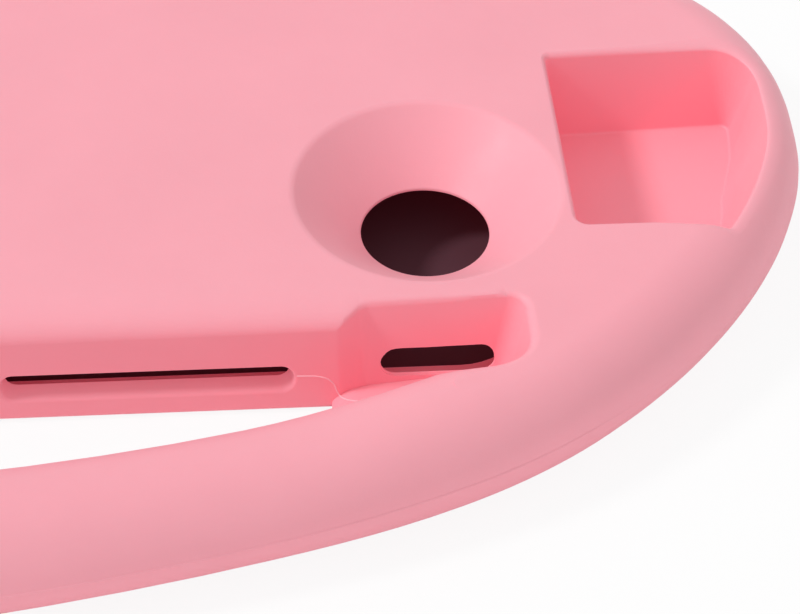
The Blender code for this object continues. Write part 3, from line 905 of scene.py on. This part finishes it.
def pocket_mesh():
    """The pocket in the ear: a loft from its floor to a soft rim that follows the ear's round edge."""
    d = details()
    outer = outer_line()
    outline = [p for p, _ in outer]
    far = -half_width() + d.pocket_far
    near = -half_width() + d.pocket_near
    heart = Vector((half_length() + d.pocket_wall + middle(), (far + near) / 2))
    span = grip().ear_reach - d.pocket_outer_wall - middle()

    def outer_share(point):
        return min(max((point.x - heart.x) / span, 0), 1)

    low = []
    feet = []
    for point in pocket_outline(outer, d.pocket_foot_corner):
        lean = d.pocket_lean * outer_share(point) * min((far - point.y) / d.pocket_lean_run, 1)
        inward = (heart - point).normalized() * d.pocket_draft
        low.append(point + inward - Vector((lean, 0)))
        room = min(far - point.y, point.y - near) / middle()
        feet.append(blend(d.pocket_foot, d.pocket_side_foot, outer_share(point) * min(room, 1)))
    ways = outward_ways(low)
    steps = finish().corner_steps // 2
    layers = []
    for i in range(steps + 1):
        angle = QUARTER * i / steps
        layer = []
        for point, way, foot in zip(low, ways, feet):
            rise = foot * (1 - math.cos(angle))
            layer.append((point - way * (foot * (1 - math.sin(angle))), d.pocket_floor + rise))
        layers.append(layer)
    rim = pocket_outline(outer, d.pocket_far_corner)
    ways = outward_ways(rim)
    steps = finish().corner_steps
    for i in range(steps + 1):
        angle = QUARTER * i / steps
        down = d.pocket_rim * (1 - math.sin(angle)) - RIM_LIFT * i / steps
        layer = []
        for point, way in zip(rim, ways):
            rim_width = blend(d.pocket_rim, d.pocket_outer_rim, outer_share(point))
            spot = point + way * (rim_width * (1 - math.cos(angle)))
            layer.append((spot, back_height(spot, outline) - down))
        layers.append(layer)
    layers.append([(spot, height() + PAST) for spot, _ in layers[-1]])
    return loft([[(spot.x, spot.y, z) for spot, z in layer] for layer in layers], "pocket")


def at_both_ends(mesh):
    """The mesh and its mirror image about the middle of the case."""
    bm = bmesh.new()
    bm.from_mesh(mesh)
    bmesh.ops.mirror(bm, geom=bm.verts[:] + bm.edges[:] + bm.faces[:], axis="X", merge_dist=WELD)
    return to_mesh(bm, mesh.name)


def cut(obj, mesh, operation="DIFFERENCE"):
    """Cuts or joins a mesh, and keeps the result as the object's own mesh."""
    tool = bpy.data.objects.new(mesh.name, mesh)
    bpy.context.scene.collection.objects.link(tool)
    step = obj.modifiers.new(mesh.name, "BOOLEAN")
    step.operation = operation
    step.solver = "EXACT"
    step.object = tool
    settle(obj)
    bpy.data.objects.remove(tool)


def settle(obj):
    """Turns an object's modifiers into its mesh."""
    bpy.context.view_layer.update()
    graph = bpy.context.evaluated_depsgraph_get()
    mesh = bpy.data.meshes.new_from_object(obj.evaluated_get(graph))
    obj.modifiers.clear()
    obj.data = mesh


def parting_line_mesh():
    """A fine thread on the side wall, from the slot's end down to the web, where the mould parted."""
    d = details()
    slot_end = lens_x() - d.slot_from_lens + d.slot_length / 2
    route = []
    for along, out, down in PARTING_ROUTE:
        route.append(Vector((slot_end + along * MM, side_wall_y() - out * MM, height() - down * MM)))
    line = bpy.data.curves.new("parting_line", "CURVE")
    line.dimensions = "3D"
    line.bevel_depth = d.thread
    line.bevel_resolution = 2
    line.use_fill_caps = True
    path = line.splines.new("NURBS")
    path.points.add(len(route) - 1)
    for place, spot in zip(path.points, route):
        place.co = (*spot, 1)
    path.use_endpoint_u = True
    path.order_u = 3
    path.resolution_u = 6
    thread = bpy.data.objects.new("parting_line", line)
    mesh = bpy.data.meshes.new_from_object(thread)
    bpy.data.objects.remove(thread)
    return mesh


def foam_material(name, colour):
    """Closed-cell foam with a smooth satin skin, slightly uneven in colour and gloss, with painted red light
    in its hollows.
    """
    look = finish()
    material = bpy.data.materials.new(name)
    material.use_nodes = True
    tree = material.node_tree
    shader = tree.nodes["Principled BSDF"]
    place = tree.nodes.new("ShaderNodeTexCoord")

    def noise(scale, detail, roughness):
        node = tree.nodes.new("ShaderNodeTexNoise")
        node.inputs["Scale"].default_value = scale
        node.inputs["Detail"].default_value = detail
        node.inputs["Roughness"].default_value = roughness
        tree.links.new(place.outputs["Object"], node.inputs["Vector"])
        return node.outputs["Fac"]

    def spread(value, low, high):
        node = tree.nodes.new("ShaderNodeMapRange")
        node.inputs["From Min"].default_value = 0.3
        node.inputs["From Max"].default_value = 0.7
        node.inputs["To Min"].default_value = low
        node.inputs["To Max"].default_value = high
        tree.links.new(value, node.inputs["Value"])
        return node.outputs["Result"]

    base = Vector(colour)
    ramp = tree.nodes.new("ShaderNodeMix")
    ramp.data_type = "RGBA"
    ramp.inputs["A"].default_value = (*(base * DARK_PATCH), 1)
    ramp.inputs["B"].default_value = (*(base * LIGHT_PATCH), 1)
    patches = noise(scale=45.0, detail=4.0, roughness=0.55)
    tree.links.new(spread(patches, 0.0, 1.0), ramp.inputs["Factor"])
    tree.links.new(ramp.outputs["Result"], shader.inputs["Base Color"])
    grain = noise(scale=220.0, detail=3.0, roughness=0.6)
    gloss = spread(grain, look.roughness - GLOSS_SPREAD, look.roughness + GLOSS_SPREAD)
    tree.links.new(gloss, shader.inputs["Roughness"])

    cells = tree.nodes.new("ShaderNodeTexVoronoi")
    cells.inputs["Scale"].default_value = 2600.0
    tree.links.new(place.outputs["Object"], cells.inputs["Vector"])
    pores = tree.nodes.new("ShaderNodeBump")
    pores.inputs["Strength"].default_value = 0.12
    pores.inputs["Distance"].default_value = 0.00005
    tree.links.new(cells.outputs["Distance"], pores.inputs["Height"])
    waves = tree.nodes.new("ShaderNodeBump")
    waves.inputs["Strength"].default_value = 0.15
    waves.inputs["Distance"].default_value = 0.0002
    tree.links.new(noise(scale=160.0, detail=2.0, roughness=0.5), waves.inputs["Height"])
    tree.links.new(pores.outputs["Normal"], waves.inputs["Normal"])
    tree.links.new(waves.outputs["Normal"], shader.inputs["Normal"])

    # Painted light: an emission, strongest where ambient occlusion finds deep hollows, paints the red of
    # light bounced in them.
    hollows = tree.nodes.new("ShaderNodeAmbientOcclusion")
    hollows.samples = 4
    hollows.inputs["Distance"].default_value = 0.03
    painted_bounce_glow = tree.nodes.new("ShaderNodeMapRange")
    painted_bounce_glow.inputs["From Min"].default_value = 0.55
    painted_bounce_glow.inputs["From Max"].default_value = 1.0
    painted_bounce_glow.inputs["To Min"].default_value = look.painted_bounce_glow
    painted_bounce_glow.inputs["To Max"].default_value = 0.0
    tree.links.new(hollows.outputs["AO"], painted_bounce_glow.inputs["Value"])
    tree.links.new(painted_bounce_glow.outputs["Result"], shader.inputs["Emission Strength"])
    shader.inputs["Emission Color"].default_value = (*look.painted_bounce_glow_colour, 1)

    shader.inputs["Specular IOR Level"].default_value = 0.35
    shader.inputs["Sheen Weight"].default_value = 0.08
    shader.inputs["Sheen Roughness"].default_value = 0.5
    shader.inputs["Subsurface Weight"].default_value = 0.08
    shader.inputs["Subsurface Radius"].default_value = (1.0, 0.35, 0.4)
    shader.inputs["Subsurface Scale"].default_value = 0.002
    return material


class CASE_OT_foam_shell(bpy.types.Operator):
    """Models the foam of the case in one piece"""

    bl_idname = "case.foam_shell"
    bl_label = "Foam shell"

    def execute(self, context):
        d = details()
        shell = bpy.data.objects.new("foam_shell", shell_mesh())
        context.scene.collection.objects.link(shell)
        cut(shell, at_both_ends(web_mesh()), "UNION")
        cut(shell, cavity_mesh())
        cut(shell, front_opening_mesh())
        cut(shell, dish_mesh())
        wall = side_wall_y()
        recess_wall = wall + d.recess_depth - d.recess_lean * d.key_drop / height()
        key_window = window_mesh(
            "key_window",
            lens_x(),
            d.key_drop,
            d.key_length,
            d.key_height,
            recess_wall,
            d.key_mouth,
        )
        cut(shell, key_window)
        side_slot = window_mesh(
            "side_slot",
            lens_x() - d.slot_from_lens,
            d.slot_drop,
            d.slot_length,
            d.slot_height,
            wall,
            d.slot_mouth,
            d.slot_lip_depth,
            d.slot_lip_fall,
        )
        cut(shell, side_slot)
        cut(shell, at_both_ends(pocket_mesh()))
        shell.data.materials.clear()
        shell.data.materials.append(foam_material("pink_foam_skin", finish().foam_colour))
        shell.data.transform(Matrix.Translation((0, row_shift(), 0)))
        shell.data.shade_smooth()
        shell.data.set_sharp_from_angle(angle=SHARP_ANGLE)
        even = shell.modifiers.new("even_shading", "WEIGHTED_NORMAL")
        even.keep_sharp = True
        even.weight = 80
        settle(shell)
        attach(shell, "root")
        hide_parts(CASE_NODE)
        return {"FINISHED"}


class CASE_OT_parting_line(bpy.types.Operator):
    """Lays the fine thread where the mould parted beside the side slot"""

    bl_idname = "case.parting_line"
    bl_label = "Parting line"

    def execute(self, context):
        mesh = parting_line_mesh()
        mesh.transform(Matrix.Translation((0, row_shift(), 0)))
        mesh.materials.clear()
        # The thread's lighter colour is a painted highlight along the ridge.
        mesh.materials.append(foam_material("thread_painted_highlight_skin", finish().thread_painted_highlight_colour))
        mesh.shade_smooth()
        line = bpy.data.objects.new("parting_line", mesh)
        context.scene.collection.objects.link(line)
        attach(line, "root")
        return {"FINISHED"}


def photo_camera():
    """The camera, above the handle and left of the dish, looking down at the corner with the dish."""
    level = math.cos(CAMERA_TILT)
    look = Vector((math.sin(CAMERA_PAN) * level, math.cos(CAMERA_PAN) * level, -math.sin(CAMERA_TILT)))
    right = look.cross(Vector((0, 0, 1))).normalized()
    up = right.cross(look)
    right, up = (
        right * math.cos(CAMERA_ROLL) + up * math.sin(CAMERA_ROLL),
        up * math.cos(CAMERA_ROLL) - right * math.sin(CAMERA_ROLL),
    )
    aim = Vector((lens_x() - AIM_LEFT, lens_y() + row_shift() - AIM_NEARER, height()))
    lens = bpy.data.cameras.new("studio_camera")
    lens.lens = 112.5
    lens.sensor_width = 36.0
    lens.clip_start = 0.01
    lens.clip_end = 20.0
    camera = bpy.data.objects.new("studio_camera", lens)
    pose = Matrix((right, up, -look)).transposed().to_4x4()
    pose.translation = aim - look * CAMERA_DISTANCE
    camera.matrix_world = pose
    return camera


class CASE_OT_studio(bpy.types.Operator):
    """Sets the pale floor, the soft light and the camera"""

    bl_idname = "case.studio"
    bl_label = "Studio"

    def execute(self, context):
        scene = context.scene
        bm = bmesh.new()
        bmesh.ops.create_grid(bm, x_segments=1, y_segments=1, size=FLOOR_SIZE)
        bmesh.ops.translate(bm, verts=bm.verts, vec=(0, 0, -FLOOR_GAP))
        floor = bpy.data.objects.new("studio_floor", to_mesh(bm, "studio_floor"))
        scene.collection.objects.link(floor)
        floor.data.materials.append(floor_material())

        sun = bpy.data.lights.new("window_light", "SUN")
        sun.energy = LAMP_STRENGTH
        sun.angle = LAMP_WIDTH
        lamp = bpy.data.objects.new("window_light", sun)
        lamp.rotation_euler = Vector(LAMP_TOWARDS).to_track_quat("Z", "Y").to_euler()
        scene.collection.objects.link(lamp)

        world = bpy.data.worlds.new("studio_sky")
        scene.world = world
        world.use_nodes = True
        sky = world.node_tree.nodes["Background"]
        sky.inputs["Color"].default_value = (1, 1, 1, 1)
        sky.inputs["Strength"].default_value = SKY_STRENGTH

        camera = photo_camera()
        scene.collection.objects.link(camera)
        scene.camera = camera
        scene.view_settings.view_transform = "Standard"
        return {"FINISHED"}


def floor_material():
    """White paper that keeps a faint shadow of the case, and has painted shade where the case covers it."""
    material = bpy.data.materials.new("white_paper")
    material.use_nodes = True
    tree = material.node_tree
    shader = tree.nodes["Principled BSDF"]
    shader.inputs["Roughness"].default_value = 0.9
    shader.inputs["Specular IOR Level"].default_value = 0.1

    def maths(operation, first, second):
        node = tree.nodes.new("ShaderNodeMath")
        node.operation = operation
        for socket, value in zip(node.inputs, (first, second)):
            if isinstance(value, float):
                socket.default_value = value
            else:
                tree.links.new(value, socket)
        return node.outputs["Value"]

    # Painted shade: inside the case's footprint the floor takes the dark shade colour.
    place = tree.nodes.new("ShaderNodeTexCoord")
    axes = tree.nodes.new("ShaderNodeSeparateXYZ")
    tree.links.new(place.outputs["Object"], axes.inputs["Vector"])
    across = maths("ABSOLUTE", axes.outputs["X"], 0.0)
    along = maths("ABSOLUTE", maths("SUBTRACT", axes.outputs["Y"], row_shift()), 0.0)
    in_length = maths("LESS_THAN", across, half_length())
    in_width = maths("LESS_THAN", along, half_width())
    covered = maths("MULTIPLY", in_length, in_width)

    paper = tree.nodes.new("ShaderNodeMix")
    paper.data_type = "RGBA"
    paper.inputs["A"].default_value = PAPER_COLOUR
    paper.inputs["B"].default_value = (*finish().shade_colour, 1)
    tree.links.new(covered, paper.inputs["Factor"])
    tree.links.new(paper.outputs["Result"], shader.inputs["Base Color"])

    bright = tree.nodes.new("ShaderNodeEmission")
    ray = tree.nodes.new("ShaderNodeLightPath")
    seen = maths("MULTIPLY", ray.outputs["Is Camera Ray"], finish().floor_brightness)
    mixed = tree.nodes.new("ShaderNodeMixShader")
    tree.links.new(maths("MULTIPLY", seen, maths("SUBTRACT", 1.0, covered)), mixed.inputs["Fac"])
    tree.links.new(shader.outputs["BSDF"], mixed.inputs[1])
    tree.links.new(bright.outputs["Emission"], mixed.inputs[2])
    tree.links.new(mixed.outputs["Shader"], tree.nodes["Material Output"].inputs["Surface"])
    return material


class CASE_PT_panel(bpy.types.Panel):
    """Lists the pieces of the case and the values that shape them"""

    bl_label = "Foam case"
    bl_idname = "CASE_PT_panel"
    bl_space_type = "VIEW_3D"
    bl_region_type = "UI"
    bl_category = "Foam case"

    def draw(self, context):
        layout = self.layout
        for piece in OPERATORS:
            layout.operator(piece.bl_idname)
        for group in (body(), grip(), details(), finish()):
            box = layout.box()
            for name in group.__annotations__:
                box.prop(group, name)


GROUPS = {
    "case_body": CaseBody,
    "case_handle": CaseHandle,
    "case_details": CaseDetails,
    "case_finish": CaseFinish,
}
OPERATORS = (CASE_OT_foam_shell, CASE_OT_parting_line, CASE_OT_studio)


def register():
    for name, group in GROUPS.items():
        bpy.utils.register_class(group)
        setattr(bpy.types.Scene, name, PointerProperty(type=group))
    for piece in OPERATORS + (CASE_PT_panel,):
        bpy.utils.register_class(piece)


def unregister():
    for piece in reversed(OPERATORS + (CASE_PT_panel,)):
        bpy.utils.unregister_class(piece)
    for name, group in GROUPS.items():
        delattr(bpy.types.Scene, name)
        bpy.utils.unregister_class(group)


def main():
    register()
    bpy.ops.case.foam_shell()
    bpy.ops.case.parting_line()
    bpy.ops.case.studio()


if __name__ == "__main__":
    main()
